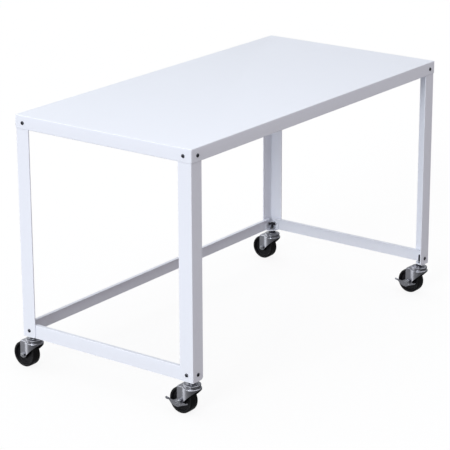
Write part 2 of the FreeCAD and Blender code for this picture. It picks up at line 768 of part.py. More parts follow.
def make_wheel(corner):
    """Solid moulded wheel: crowned tread, rim, thin web and hub."""
    body = new_body(f"wheel_{corner}")
    bore = d.bushing_size / 2 + d.running_gap
    face = d.wheel_width / 2
    right_half = [
        (d.hub_half, bore), (d.hub_half, d.hub_radius - 1), (d.hub_half - 1, d.hub_radius),
        (d.web_half + 1, d.hub_radius + 1.5), (d.web_half, d.hub_radius + 3),
        (d.web_half, d.rim_inner - 3), (face - 1, d.rim_inner), (face, d.rim_inner + 1),
        (face, d.tread_edge - 1.6), (face - 0.9, d.tread_edge), (d.tread_flat, WHEEL_RADIUS - 0.3),
        (d.tread_flat - 3, WHEEL_RADIUS),
    ]
    left_half = [(-x, y) for x, y in reversed(right_half)]
    profile = new_sketch(body, "XZ_Plane")
    outline(profile, right_half + left_half)
    turn_round(body, "Revolution", profile, "H_Axis")
    x, y = stem_spot(corner)
    return move(body, x, y + d.trail, WHEEL_RADIUS)


def make_lever(corner):
    """Brake lever on the axle: plate, rear pedal and front tab, both bent outwards."""
    body = new_body(f"brake_lever_{corner}")
    face = -(d.fork_half + d.lever_gap)
    plate = new_sketch(body, "YZ_Plane", face)
    outline(plate, LEVER_OUTLINE)
    pad(body, plate, d.lever_sheet, back=True)
    for out, section in ((d.pedal_out, LEVER_PEDAL), (d.tab_out, LEVER_TAB)):
        tab = new_sketch(body, "YZ_Plane", face)
        outline(tab, section)
        pad(body, tab, out + d.lever_sheet, back=True)
    outer = face.value - d.lever_sheet.value - d.pedal_out.value
    fillet(body, d.pedal_round, lambda e: abs(e.BoundBox.XMin - outer) < 0.01
           and spans(e, "x") < 0.01 and e.BoundBox.YMin > 30 and spans(e, "y") < 1.0)
    hole = new_sketch(body, "YZ_Plane")
    circle(hole, 0, 0, d.axle_size / 2 + d.running_gap)
    pocket(body, hole)
    x, y = stem_spot(corner)
    return move(body, x, y + d.trail, WHEEL_RADIUS)


def make_caster(corner):
    pieces = [
        make_stem(corner), make_cap(corner), make_balls(corner), make_fork(corner),
        make_axle(corner), make_axle_nut(corner), make_bushing(corner), make_wheel(corner),
    ]
    if corner in BRAKED:
        pieces.append(make_lever(corner))
    return pieces


# ---------------------------------------------------------------- whole table

def make_table():
    nodes = [make_top_panel(), make_stiffener()]
    nodes += [make_leg(corner) for corner in CORNERS]
    nodes += make_rails()
    nodes += [make_bracket(corner) for corner in CORNERS]
    nodes += make_fasteners()
    for corner in CORNERS:
        nodes += make_caster(corner)
    nodes += make_race_washers()
    return nodes


def check(nodes):
    """Stop when an object failed or a sub-part's shape is unusable."""
    doc.recompute()
    for thing in doc.Objects:
        if "Invalid" in thing.State or "Error" in thing.State:
            raise RuntimeError(f"{thing.Label} failed: {thing.State}")
    for node in nodes:
        if node.Shape.isNull() or not node.Shape.isValid() or node.Shape.Volume <= 0:
            raise RuntimeError(f"{node.Label} has no valid shape")


def write_parts(nodes):
    os.makedirs("parts", exist_ok=True)
    for node in nodes:
        node.Shape.exportStep(os.path.join("parts", f"{node.Label}.step"))
        box = node.Shape.BoundBox
        print(f"{node.Label:28s} solids {len(node.Shape.Solids):3d}  volume {node.Shape.Volume:10.1f}"
              f"  z {box.ZMin:7.1f} to {box.ZMax:7.1f}")


table = make_table()
check(table)
write_parts(table)
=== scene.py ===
import json
import math

import bmesh
import bpy
from bpy.props import FloatProperty, FloatVectorProperty, IntProperty, PointerProperty
from mathutils import Matrix, Vector


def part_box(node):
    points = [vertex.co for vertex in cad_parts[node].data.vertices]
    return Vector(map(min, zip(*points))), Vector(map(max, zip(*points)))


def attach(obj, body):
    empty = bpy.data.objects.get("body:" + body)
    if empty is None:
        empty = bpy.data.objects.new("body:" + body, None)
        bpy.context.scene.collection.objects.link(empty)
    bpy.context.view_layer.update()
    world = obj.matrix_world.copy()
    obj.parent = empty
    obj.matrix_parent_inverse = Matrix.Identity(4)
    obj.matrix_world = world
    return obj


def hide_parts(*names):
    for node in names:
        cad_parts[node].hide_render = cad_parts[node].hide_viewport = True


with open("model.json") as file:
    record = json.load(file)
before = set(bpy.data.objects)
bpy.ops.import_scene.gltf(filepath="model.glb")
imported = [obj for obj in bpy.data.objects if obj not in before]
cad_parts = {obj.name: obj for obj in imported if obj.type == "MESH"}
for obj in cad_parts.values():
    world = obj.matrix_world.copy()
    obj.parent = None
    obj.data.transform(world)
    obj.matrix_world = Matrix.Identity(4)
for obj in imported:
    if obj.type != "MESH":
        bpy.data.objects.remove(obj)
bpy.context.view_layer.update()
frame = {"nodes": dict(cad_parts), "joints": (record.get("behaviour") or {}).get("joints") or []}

bl_info = {
    "name": "Sewing Table Builder",
    "version": (1, 0, 0),
    "blender": (4, 5, 0),
    "location": "3D View > Sidebar > Sewing Table",
    "description": "Builds a white steel sewing table on casters, piece by piece",
    "category": "Add Mesh",
}

CORNERS = ("front_left", "front_right", "rear_right", "rear_left")
BRAKED = ("front_left", "front_right")
MM = 0.001

# Tolerances for cleaning meshes, in metres
WELD = 2e-6
FINE_WELD = 1e-7
SLIVER = 2e-5

# Hardware, in metres; heights are above the floor
FRAME_THREAD = 6.35 * MM
STEM_THREAD = 7.94 * MM
FRAME_NUT_HEIGHT, STEM_NUT_HEIGHT = 5.5 * MM, 6.6 * MM
AXLE_NUT_FLATS = 12.7 * MM
NUT_SIZES = ("Flats", "Height", "Bore")
PIN_RADIUS, PIN_HEAD_RADIUS, PIN_HEAD_HEIGHT = 5.0 * MM, 8.0 * MM, 2.0 * MM
COLLAR_BOTTOM, COLLAR_TOP, COLLAR_FLATS = 91.5 * MM, 99.0 * MM, 17.5 * MM
COLLAR_CHAMFER = 0.7 * MM
CAP_BOTTOM = 84.3 * MM
RACE_RADIUS = 15.0 * MM
TYRE_INSIDE = 31.5 * MM

# From the axle's middle: the lever's outer face in metres, and its rivets' Y and Z in millimetres
LEVER_FACE = 19.8 * MM
LEVER_RIVETS = ((11.5, -4.6), (-3.0, -11.0), (10.5, -12.0))

# Strength and depth of each finish's fine relief
PAINT_RELIEF = (0.12, 0.0002)
METAL_RELIEF = (0.035, 0.00005)
RUBBER_RELIEF = (0.3, 0.0002)

# The room's glows: where each starts and ends along a direction, and its strength at both
OVERHEAD_GLOW = (0.3, 1.0, 0.0, 0.86)
BEHIND_GLOW = (-0.1, 0.8, 0.0, 0.40)
CANOPY_PANEL = (0.45, 0.85, 0.0, 2.2)
BACKDROP_PANEL = (0.68, 0.95, 0.0, 1.5)
ROOM_BASE, GLOSSY_BASE = 0.25, -0.10
WARM_TINT, COOL_TINT = (1.13, 0.82, 0.89, 1.0), (0.98, 1.005, 1.02, 1.0)
KEY_STRENGTH, KEY_SPREAD, KEY_COLOUR = 1.70, 26.0, (0.95, 0.995, 1.03)
KEY_TOWARD = Vector((0.93, 0.11, -0.35))
FLOOR_LIT, FLOOR_SEEN, FLOOR_GLOW = 0.6, 0.15, 0.88

# The view: lens in millimetres, angles in degrees, the rest in metres
LENS, SHIFT_X, SHIFT_Y = 156.7, -0.0243, -0.0529
AZIMUTH, ELEVATION, ROLL = -53.745, 17.439, -0.112
LOOK_AT, DISTANCE = Vector((0.0, -0.01945, 0.4)), 5.77321


# ---- settings

class SewingTableSizes(bpy.types.PropertyGroup):
    """Small sizes that finish the table's pieces"""

    edge_round: FloatProperty(
        name="Sheet Edge", description="Rounding of the painted sheet's cut edges",
        default=0.45 * MM, min=0.1 * MM, max=1.5 * MM, unit="LENGTH", precision=5)
    metal_round: FloatProperty(
        name="Pressed Edge", description="Rounding of the casters' pressed edges",
        default=0.35 * MM, min=0.1 * MM, max=0.8 * MM, unit="LENGTH", precision=5)
    screw_head: FloatProperty(
        name="Screw Head", description="Diameter of the frame screws' heads",
        default=10.8 * MM, min=8.0 * MM, max=10.8 * MM, unit="LENGTH", precision=5)
    screw_dome: FloatProperty(
        name="Screw Dome", description="Height of the frame screws' heads",
        default=3.2 * MM, min=2.0 * MM, max=3.2 * MM, unit="LENGTH", precision=5)
    screw_recess: FloatProperty(
        name="Screw Recess", description="Diameter of the driver recess",
        default=4.6 * MM, min=2.0 * MM, max=6.0 * MM, unit="LENGTH", precision=5)
    frame_nut: FloatProperty(
        name="Frame Nut", description="Frame nuts, across flats",
        default=11.1 * MM, min=9.0 * MM, max=12.7 * MM, unit="LENGTH", precision=5)
    stem_nut: FloatProperty(
        name="Stem Nut", description="Stem nuts, across flats",
        default=12.7 * MM, min=11.0 * MM, max=14.0 * MM, unit="LENGTH", precision=5)
    thread_pitch: FloatProperty(
        name="Thread Pitch", description="Pitch of the stems' threads",
        default=1.41 * MM, min=0.8 * MM, max=2.0 * MM, unit="LENGTH", precision=5)
    thread_depth: FloatProperty(
        name="Thread Depth", description="Depth of the stems' threads",
        default=0.55 * MM, min=0.2 * MM, max=0.8 * MM, unit="LENGTH", precision=5)
    ball: FloatProperty(
        name="Race Ball", description="Diameter of the balls in the swivel race",
        default=3.0 * MM, min=2.0 * MM, max=3.0 * MM, unit="LENGTH", precision=5)
    balls: IntProperty(
        name="Balls in a Race", description="Number of balls in one swivel race",
        default=16, min=8, max=24)
    wheel_steps: IntProperty(
        name="Wheel Steps", description="Steps round the wheel", default=96, min=32, max=160)


class SewingTableColours(bpy.types.PropertyGroup):
    """Colours of the table's finishes"""

    enamel: FloatVectorProperty(
        name="Enamel", description="Powder coat on the top, legs, rails and brackets",
        subtype="COLOR", size=4, min=0.0, max=1.0, default=(0.82, 0.85, 0.92, 1.0))
    zinc: FloatVectorProperty(
        name="Pressed Steel", description="Plated steel of the forks, caps and levers",
        subtype="COLOR", size=4, min=0.0, max=1.0, default=(0.31, 0.31, 0.34, 1.0))
    bright: FloatVectorProperty(
        name="Bright Zinc", description="Nuts, axles and washers",
        subtype="COLOR", size=4, min=0.0, max=1.0, default=(0.36, 0.365, 0.39, 1.0))
    dark: FloatVectorProperty(
        name="Dark Zinc", description="Frame screws and stems",
        subtype="COLOR", size=4, min=0.0, max=1.0, default=(0.055, 0.055, 0.066, 1.0))
    rubber: FloatVectorProperty(
        name="Wheel", description="Hard black wheel",
        subtype="COLOR", size=4, min=0.0, max=1.0, default=(0.003, 0.003, 0.0035, 1.0))
    core: FloatVectorProperty(
        name="Wheel Core", description="Side of the wheel inside its tyre",
        subtype="COLOR", size=4, min=0.0, max=1.0, default=(0.006, 0.006, 0.0075, 1.0))
    floor: FloatVectorProperty(
        name="Floor", description="Studio floor",
        subtype="COLOR", size=4, min=0.0, max=1.0, default=(0.80, 0.80, 0.80, 1.0))


def sizes():
    return bpy.context.scene.sewing_table_sizes


def colours():
    return bpy.context.scene.sewing_table_colours


# ---- node trees

def put(tree, kind, *values, **settings):
    """Add a node, set its properties, and fill its inputs in order."""
    node = tree.nodes.new(kind)
    for name, value in settings.items():
        setattr(node, name, value)
    free = [socket for socket in node.inputs if socket.enabled and not socket.is_unavailable]
    for socket, value in zip(free, values):
        feed(tree, socket, value)
    return node


def feed(tree, socket, value):
    """Link a socket to another node's output, or set its own value."""
    if value is None:
        return
    if isinstance(value, bpy.types.NodeSocket):
        tree.links.new(value, socket)
    else:
        socket.default_value = value


def wired(tree, kind, given, **settings):
    """Add a node, set its properties, and fill its inputs by name."""
    node = put(tree, kind, **settings)
    for name, value in given.items():
        feed(tree, node.inputs[name], value)
    return node


def math_node(tree, operation, *values):
    return put(tree, "ShaderNodeMath", *values, operation=operation).outputs[0]


def times(tree, first, second):
    return math_node(tree, "MULTIPLY", first, second)


def plus(tree, first, second):
    return math_node(tree, "ADD", first, second)


def over(tree, first, second):
    return math_node(tree, "DIVIDE", first, second)


def greater(tree, first, second):
    return math_node(tree, "GREATER_THAN", first, second)


def ramp(tree, value, *ends):
    """Carry a value from one range to another, and hold it there."""
    return put(tree, "ShaderNodeMapRange", value, *ends).outputs[0]


def swing(tree, value, amount):
    """How far a 0 to 1 value lies from its middle, times an amount."""
    return times(tree, math_node(tree, "SUBTRACT", value, 0.5), amount)


def mix_colour(tree, factor, first, second):
    node = tree.nodes.new("ShaderNodeMix")
    node.data_type = "RGBA"
    for name, value in (("Factor_Float", factor), ("A_Color", first), ("B_Color", second)):
        feed(tree, next(s for s in node.inputs if s.identifier == name), value)
    return next(s for s in node.outputs if s.identifier == "Result_Color")


def spread(tree, value, low, high):
    """Carry a 0 to 1 value to the range low to high."""
    return ramp(tree, value, 0.0, 1.0, low, high)


def noise(tree, place, scale, detail=2.0, roughness=0.5):
    given = {"Vector": place, "Scale": scale, "Detail": detail, "Roughness": roughness}
    return wired(tree, "ShaderNodeTexNoise", given).outputs["Fac"]


def stretched(tree, place, scale):
    """Object coordinates scaled unevenly, for brushed and drawn marks."""
    return wired(tree, "ShaderNodeMapping", {"Vector": place, "Scale": scale}).outputs["Vector"]


def effect_group(name, tints, numbers, build):
    """A shader node group shared by the materials, built once."""
    group = bpy.data.node_groups.get(name)
    if group:
        return group
    group = bpy.data.node_groups.new(name, "ShaderNodeTree")
    for way, kind, labels in (("INPUT", COLOUR, tints), ("INPUT", NUMBER, numbers),
                              ("OUTPUT", COLOUR, ("Colour",)),
                              ("OUTPUT", NUMBER, ("Roughness", "Height"))):
        for label in labels:
            group.interface.new_socket(name=label, in_out=way, socket_type=kind)
    place = group.nodes.new("ShaderNodeTexCoord").outputs["Object"]
    build(group, place, group.nodes.new("NodeGroupInput").outputs,
          group.nodes.new("NodeGroupOutput").inputs)
    return group


COLOUR, NUMBER = "NodeSocketColor", "NodeSocketFloat"


def build_powder_coat(group, place, given, out):
    """Orange peel, faint tone changes and a little dust low on the legs."""
    broad = noise(group, place, 4.0, 3.0)
    patch = noise(group, place, 38.0, 4.0, 0.6)
    peel = noise(group, place, 620.0, 1.5)
    speck = noise(group, place, 1900.0, 1.0)
    tone = times(group, spread(group, broad, 0.0, 1.0), given["Mottle"])
    shade = mix_colour(group, tone, given["Colour"], given["Shade"])
    fine = times(group, spread(group, patch, 0.0, 0.5), given["Mottle"])
    shade = mix_colour(group, fine, shade, given["Shade"])
    height = put(group, "ShaderNodeSeparateXYZ", place).outputs["Z"]
    low = ramp(group, height, 0.32, 0.09, 0.0, 1.0)
    dust = times(group, low, times(group, patch, given["Dust"]))
    feed(group, out["Colour"], mix_colour(group, dust, shade, given["Dust Colour"]))
    gloss = plus(group, spread(group, patch, 0.26, 0.38), times(group, dust, 0.5))
    feed(group, out["Roughness"], gloss)
    feed(group, out["Height"], plus(group, peel, times(group, speck, 0.25)))


def powder_coat():
    """Node group of the enamel's skin."""
    return effect_group("powder_coat_skin", ("Colour", "Shade", "Dust Colour"),
                        ("Mottle", "Dust"), build_powder_coat)


def build_plated(group, place, given, out):
    """Plating blotches, drawing marks and pits of pressed steel."""
    blotch = noise(group, place, 90.0, 4.0, 0.6)
    grain = noise(group, place, 700.0, 3.0, 0.6)
    drawn = noise(group, stretched(group, place, (900.0, 900.0, 60.0)), 1.0, 3.0, 0.7)
    rubbed = noise(group, stretched(group, place, (140.0, 1500.0, 1500.0)), 1.0, 2.0, 0.6)
    marks = plus(group, times(group, drawn, 0.5), times(group, rubbed, 0.5))
    mask = spread(group, blotch, 0.0, 1.0)
    tone = mix_colour(group, times(group, mask, given["Blotch"]), given["Colour"], given["Stain"])
    tone = mix_colour(group, times(group, marks, given["Marks"]), tone, given["Shine"])
    feed(group, out["Colour"], tone)
    rough = plus(group, given["Base Roughness"], swing(group, blotch, 0.2))
    feed(group, out["Roughness"], plus(group, rough, swing(group, marks, 0.2)))
    feed(group, out["Height"], plus(group, times(group, grain, 0.5), times(group, marks, 0.5)))


def plated():
    """Node group of zinc-plated steel."""
    return effect_group("plated_steel_skin", ("Colour", "Stain", "Shine"),
                        ("Blotch", "Marks", "Base Roughness"), build_plated)


def build_moulded(group, place, given, out):
    """Moulding grain, scuffs and floor dust of a hard wheel."""
    grain = noise(group, place, 1100.0, 2.0)
    scuff = noise(group, stretched(group, place, (1600.0, 260.0, 260.0)), 1.0, 3.0, 0.65)
    patch = noise(group, place, 60.0, 4.0, 0.6)
    worn = ramp(group, patch, 0.45, 0.75, 0.0, 1.0)
    dust = times(group, times(group, worn, scuff), given["Dust"])
    feed(group, out["Colour"], mix_colour(group, dust, given["Colour"], given["Dust Colour"]))
    rough = plus(group, given["Base Roughness"], swing(group, scuff, 0.25))
    feed(group, out["Roughness"], plus(group, rough, times(group, dust, 0.4)))
    feed(group, out["Height"], plus(group, grain, scuff))


def moulded():
    """Node group of the wheels' rubber."""
    return effect_group("moulded_rubber_skin", ("Colour", "Dust Colour"),
                        ("Dust", "Base Roughness"), build_moulded)


def shades(colour, factor):
    """A darker or lighter version of a colour."""
    return tuple(min(1.0, channel * factor) for channel in colour[:3]) + (1.0,)


def skin_material(name, group, given, metal, relief, specular):
    """A Principled material fed by one of the skin groups."""
    material = bpy.data.materials.get(name)
    if material:
        return material
    material = bpy.data.materials.new(name)
    material.use_nodes = True
    tree = material.node_tree
    shader = tree.nodes["Principled BSDF"]
    skin = tree.nodes.new("ShaderNodeGroup")
    skin.node_tree = group
    for label, value in given.items():
        skin.inputs[label].default_value = value
    bump = wired(tree, "ShaderNodeBump", {"Strength": relief[0], "Distance": relief[1],
                                          "Height": skin.outputs["Height"]})
    for label, value in (("Base Color", skin.outputs["Colour"]),
                         ("Roughness", skin.outputs["Roughness"]),
                         ("Normal", bump.outputs["Normal"]), ("Metallic", metal),
                         ("Specular IOR Level", specular)):
        feed(tree, shader.inputs[label], value)
    return material


def enamel():
    colour = tuple(colours().enamel)
    return skin_material(
        "white_powder_coat", powder_coat(),
        {"Colour": colour, "Shade": shades(colour, 0.95), "Mottle": 0.25, "Dust": 0.12,
         "Dust Colour": (0.62, 0.61, 0.6, 1.0)},
        metal=0.0, relief=PAINT_RELIEF, specular=0.35)


def metal_finish(name, colour, stain, shine, blotch, marks, roughness):
    """Plated steel; its stain and shine are factors of its colour."""
    return skin_material(
        name, plated(),
        {"Colour": tuple(colour), "Stain": shades(colour, stain), "Shine": shades(colour, shine),
         "Blotch": blotch, "Marks": marks, "Base Roughness": roughness},
        metal=1.0, relief=METAL_RELIEF, specular=0.5)


def pressed_steel():
    return metal_finish("plated_pressed_steel", colours().zinc, stain=0.8, shine=1.25,
                        blotch=0.35, marks=0.3, roughness=0.33)


def bright_zinc():
    return metal_finish("bright_zinc_plate", colours().bright, stain=0.75, shine=1.2,
                        blotch=0.3, marks=0.3, roughness=0.34)


def dark_zinc():
    return metal_finish("dark_zinc_plate", colours().dark, stain=0.7, shine=1.6,
                        blotch=0.4, marks=0.3, roughness=0.42)


def ball_steel():
    return metal_finish("bearing_steel", colours().bright, stain=0.85, shine=1.2,
                        blotch=0.2, marks=0.2, roughness=0.12)


def rubber_finish(name, colour, dust_colour, dust, roughness):
    """Hard black rubber with a low surface reflection."""
    return skin_material(
        name, moulded(),
        {"Colour": tuple(colour), "Dust Colour": dust_colour, "Dust": dust,
         "Base Roughness": roughness},
        metal=0.0, relief=RUBBER_RELIEF, specular=0.2)


def tyre_rubber():
    return rubber_finish("black_tyre", colours().rubber, (0.05, 0.05, 0.055, 1.0),
                         dust=0.2, roughness=0.36)


def core_rubber():
    return rubber_finish("black_wheel_core", colours().core, (0.07, 0.07, 0.075, 1.0),
                         dust=0.25, roughness=0.42)


# ---- mesh helpers

def new_object(name, mesh):
    thing = bpy.data.objects.new(name, mesh)
    bpy.context.scene.collection.objects.link(thing)
    return thing


def settle(piece, body, slot, *nodes):
    """Attach a finished piece to its body and hide the nodes it stands for; the slot is not used.
    """
    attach(piece, body)
    if nodes:
        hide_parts(*nodes)
    return piece


def smooth_by_angle(mesh, degrees):
    for face in mesh.polygons:
        face.use_smooth = True
    mesh.set_sharp_from_angle(angle=math.radians(degrees))


def mesh_of(shell, name, materials, degrees=None):
    """A mesh made from a bmesh, which is freed, and smoothed up to an angle if one is given."""
    mesh = bpy.data.meshes.new(name)
    shell.to_mesh(mesh)
    shell.free()
    for material in materials:
        mesh.materials.append(material)
    if degrees is not None:
        smooth_by_angle(mesh, degrees)
    return mesh


def spoke(shell, centre, angle, points):
    """Vertices in a half plane at an angle round the Z axis, from (radius, height) points."""
    side, up = math.cos(angle), math.sin(angle)
    return [shell.verts.new(Vector((reach * side, reach * up, height)) + centre)
            for reach, height in points]


def sheet_copy(node, edge, material, degrees=35.0):
    """A sealed copy of a node's shape with flat faces joined and its edges rounded."""
    mesh = frame["nodes"][node].data.copy()
    mesh.name = f"{node}_shell"
    shell = bmesh.new()
    shell.from_mesh(mesh)
    bmesh.ops.remove_doubles(shell, verts=shell.verts, dist=WELD)
    bmesh.ops.dissolve_limit(shell, angle_limit=math.radians(0.6), verts=shell.verts,
                             edges=shell.edges)
    bmesh.ops.dissolve_degenerate(shell, dist=SLIVER, edges=shell.edges)
    shell.to_mesh(mesh)
    shell.free()
    mesh.materials.clear()
    mesh.materials.append(material)
    smooth_by_angle(mesh, 30.0)
    piece = new_object(f"{node}_finish", mesh)
    modifier = piece.modifiers.new("Edge Round", "BEVEL")
    modifier.width = edge
    modifier.segments = 2
    modifier.limit_method = "ANGLE"
    modifier.angle_limit = math.radians(degrees)
    modifier.harden_normals = True
    return piece


def painted_sheets(nodes):
    """Finish folded sheet pieces of the frame in white enamel."""
    for node in nodes:
        settle(sheet_copy(node, sizes().edge_round, enamel()), "frame", "white_enamel", node)


def lathe(name, rings, steps, axis, centre, materials, pick=None):
    """Turn a closed ring of (along, radius) points round an axis through a centre."""
    shell = bmesh.new()
    rows = []
    for i in range(steps):
        angle = 2 * math.pi * i / steps
        row = []
        for along, radius in rings:
            side, up = radius * math.cos(angle), radius * math.sin(angle)
            spot = Vector((along, side, up)) if axis == "x" else Vector((side, up, along))
            row.append(shell.verts.new(spot + centre))
        rows.append(row)
    count = len(rings)
    for i in range(steps):
        here, there = rows[i], rows[(i + 1) % steps]
        for k in range(count):
            after = (k + 1) % count
            face = shell.faces.new((here[k], here[after], there[after], there[k]))
            if pick:
                face.material_index = pick(k)
    bmesh.ops.remove_doubles(shell, verts=shell.verts, dist=FINE_WELD)
    bmesh.ops.recalc_face_normals(shell, faces=shell.faces)
    return mesh_of(shell, name, materials, 32.0)


def arc(centre, radius, start, end, count):
    """Points on an arc, in (along, radius) coordinates."""
    points = []
    for i in range(count + 1):
        angle = math.radians(start + (end - start) * i / count)
        points.append((centre[0] + radius * math.cos(angle), centre[1] + radius * math.sin(angle)))
    return points


def box_centre(node):
    low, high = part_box(node)
    return (Vector(low) + Vector(high)) / 2


def joint_place(name):
    return Vector(next(j for j in frame["joints"] if j["name"] == name)["pos_m"])


def stem_axis(corner):
    """The swivel joint's axis, at floor level."""
    place = joint_place(f"swivel_turn_{corner}")
    return Vector((place.x, place.y, 0.0))


def axle_centre(corner):
    return joint_place(f"wheel_spin_{corner}")


# ---- repeated pieces

def geometry_tree(name, numbers, build):
    """A Geometry Nodes tree that copies a small shape to a mesh of marked points."""
    tree = bpy.data.node_groups.new(name, "GeometryNodeTree")
    tree.interface.new_socket(name="Geometry", in_out="INPUT", socket_type="NodeSocketGeometry")
    for label in numbers:
        tree.interface.new_socket(name=label, in_out="INPUT", socket_type=NUMBER)
    tree.interface.new_socket(name="Material", in_out="INPUT", socket_type="NodeSocketMaterial")
    tree.interface.new_socket(name="Geometry", in_out="OUTPUT", socket_type="NodeSocketGeometry")
    start = tree.nodes.new("NodeGroupInput").outputs
    shape = build(tree, start)
    outward = wired(tree, "GeometryNodeInputNamedAttribute", {"Name": "outward"},
                    data_type="FLOAT_VECTOR").outputs[0]
    turn = wired(tree, "FunctionNodeAlignRotationToVector", {"Vector": outward}, axis="Z")
    copied = wired(tree, "GeometryNodeInstanceOnPoints", {
        "Points": start["Geometry"], "Instance": shape, "Rotation": turn.outputs[0]})
    real = wired(tree, "GeometryNodeRealizeInstances", {"Geometry": copied.outputs[0]})
    painted = wired(tree, "GeometryNodeSetMaterial", {
        "Geometry": real.outputs[0], "Material": start["Material"]})
    tree.links.new(painted.outputs[0], tree.nodes.new("NodeGroupOutput").inputs[0])
    return tree


def radial(tree):
    """Position, distance from the Z axis and height of the shape being built."""
    place = tree.nodes.new("GeometryNodeInputPosition").outputs[0]
    parts = put(tree, "ShaderNodeSeparateXYZ", place).outputs
    flat = put(tree, "ShaderNodeCombineXYZ", parts["X"], parts["Y"], 0.0).outputs[0]
    distance = put(tree, "ShaderNodeVectorMath", flat, operation="LENGTH").outputs["Value"]
    return flat, distance, parts


def reshaped(tree, mesh, flat, radius, height):
    """Move every point of a mesh to a new distance from the Z axis and a new height."""
    unit = put(tree, "ShaderNodeVectorMath", flat, operation="NORMALIZE").outputs[0]
    side = put(tree, "ShaderNodeVectorMath", unit, operation="SCALE")
    feed(tree, side.inputs["Scale"], radius)
    up = put(tree, "ShaderNodeCombineXYZ", 0.0, 0.0, height).outputs[0]
    spot = put(tree, "ShaderNodeVectorMath", side.outputs[0], up, operation="ADD").outputs[0]
    return wired(tree, "GeometryNodeSetPosition", {"Geometry": mesh, "Position": spot}).outputs[0]


def choose(tree, test, no, yes):
    given = {"Switch": test, "False": no, "True": yes}
    return wired(tree, "GeometryNodeSwitch", given, input_type="FLOAT").outputs[0]


def cylinder(tree, sides, rings, fills, radius, depth):
    given = {"Vertices": sides, "Side Segments": rings, "Fill Segments": fills,
             "Radius": radius, "Depth": depth}
    node = wired(tree, "GeometryNodeMeshCylinder", given, fill_type="TRIANGLE_FAN")
    return node.outputs["Mesh"]


def shaded(tree, mesh, degrees):
    """Smooth shading, kept sharp at edges over an angle."""
    angle = tree.nodes.new("GeometryNodeInputMeshEdgeAngle").outputs["Unsigned Angle"]
    sharp = greater(tree, angle, math.radians(degrees))
    given = {"Geometry": mesh, "Selection": sharp, "Shade Smooth": False}
    return wired(tree, "GeometryNodeSetShadeSmooth", given, domain="EDGE").outputs[0]


def dome_height(tree, share, fullness, power, height):
    """Height of a dome at a share of its radius."""
    fall = math_node(tree, "POWER", times(tree, share, fullness), power)
    rise = math_node(tree, "MAXIMUM", math_node(tree, "SUBTRACT", 1.0, fall), 0.0)
    return times(tree, height, math_node(tree, "SQRT", rise))


def hex_reach(tree, parts, half):
    """Distance from a hexagon's middle to its side, towards each point."""
    angle = math_node(tree, "ARCTAN2", parts["Y"], parts["X"])
    sixth = math_node(tree, "FLOORED_MODULO", angle, math.pi / 3)
    wedge = math_node(tree, "SUBTRACT", sixth, math.pi / 6)
    return over(tree, half, math_node(tree, "COSINE", wedge))


def build_screw(tree, given):
    """Domed head with a socket, its seat at Z 0, and the shank below it."""
    radius = times(tree, given["Head"], 0.5)
    recess = times(tree, given["Recess"], 0.5)
    head = cylinder(tree, 30, 2, 9, radius, given["Dome"])
    flat, distance, parts = radial(tree)
    top = greater(tree, parts["Z"], times(tree, given["Dome"], 0.4))
    share = over(tree, distance, radius)
    dome = dome_height(tree, share, 0.96, 2.2, given["Dome"])
    # The socket takes the rings inside 0.4 of the radius, and its lip the next one.
    inside = math_node(tree, "LESS_THAN", share, 0.4)
    level = choose(tree, inside, dome, times(tree, given["Dome"], 0.42))
    base = plus(tree, parts["Z"], times(tree, given["Dome"], 0.5))
    level = choose(tree, top, times(tree, base, 0.3), level)
    hexed = hex_reach(tree, parts, recess)
    lip = math_node(tree, "LESS_THAN", share, 0.5)
    middle = times(tree, distance, over(tree, hexed, times(tree, radius, 0.3334)))
    near = choose(tree, inside, times(tree, hexed, 1.04), middle)
    reach = choose(tree, top, distance, choose(tree, lip, distance, near))
    domed = reshaped(tree, head, flat, reach, level)
    shank = cylinder(tree, 20, 1, 1, times(tree, given["Shank"], 0.5), given["Reach"])
    drop = put(tree, "ShaderNodeCombineXYZ", 0.0, 0.0, times(tree, given["Reach"], -0.5))
    lowered = wired(tree, "GeometryNodeTransform",
                    {"Geometry": shank, "Translation": drop.outputs[0]})
    whole = tree.nodes.new("GeometryNodeJoinGeometry")
    tree.links.new(lowered.outputs[0], whole.inputs[0])
    tree.links.new(domed, whole.inputs[0])
    return shaded(tree, whole.outputs[0], 38.0)


def build_nut(tree, given):
    """Hex nut with chamfered corners and a countersunk bore, from Z 0 upwards."""
    half = times(tree, given["Flats"], 0.5)
    bore = times(tree, given["Bore"], 0.5)
    blank = cylinder(tree, 48, 4, 4, half, given["Height"])
    flat, distance, parts = radial(tree)
    hexed = hex_reach(tree, parts, half)
    level = over(tree, parts["Z"], given["Height"])
    far = math_node(tree, "ABSOLUTE", level)
    end = greater(tree, far, 0.4)
    crown = math_node(tree, "MINIMUM", hexed, times(tree, half, 1.02))
    rim = choose(tree, end, hexed, crown)
    # From the outside in, the blank's rings become flank, countersink, bore and its floor.
    share = over(tree, distance, half)
    flank, ring, wall = (greater(tree, share, least) for least in (0.9, 0.6, 0.35))
    inner = choose(tree, wall, times(tree, distance, 0.5), bore)
    inner = choose(tree, ring, inner, times(tree, bore, 1.1))
    reach = choose(tree, flank, inner, rim)
    middle = choose(tree, greater(tree, far, 0.2), far, 0.42)
    squeeze = choose(tree, greater(tree, far, 0.3), middle, far)
    squeeze = choose(tree, end, squeeze, 0.5)
    face = choose(tree, ring, choose(tree, wall, 0.42, 0.45), 0.5)
    face = choose(tree, flank, face, squeeze)
    side = times(tree, math_node(tree, "SIGN", level), face)
    height = times(tree, given["Height"], plus(tree, 0.5, side))
    return shaded(tree, reshaped(tree, blank, flat, reach, height), 28.0)


def build_ball(tree, given):
    ball = wired(tree, "GeometryNodeMeshUVSphere", {
        "Segments": 20, "Rings": 12, "Radius": times(tree, given["Ball"], 0.5)})
    smooth = wired(tree, "GeometryNodeSetShadeSmooth", {"Geometry": ball.outputs["Mesh"]})
    return smooth.outputs[0]


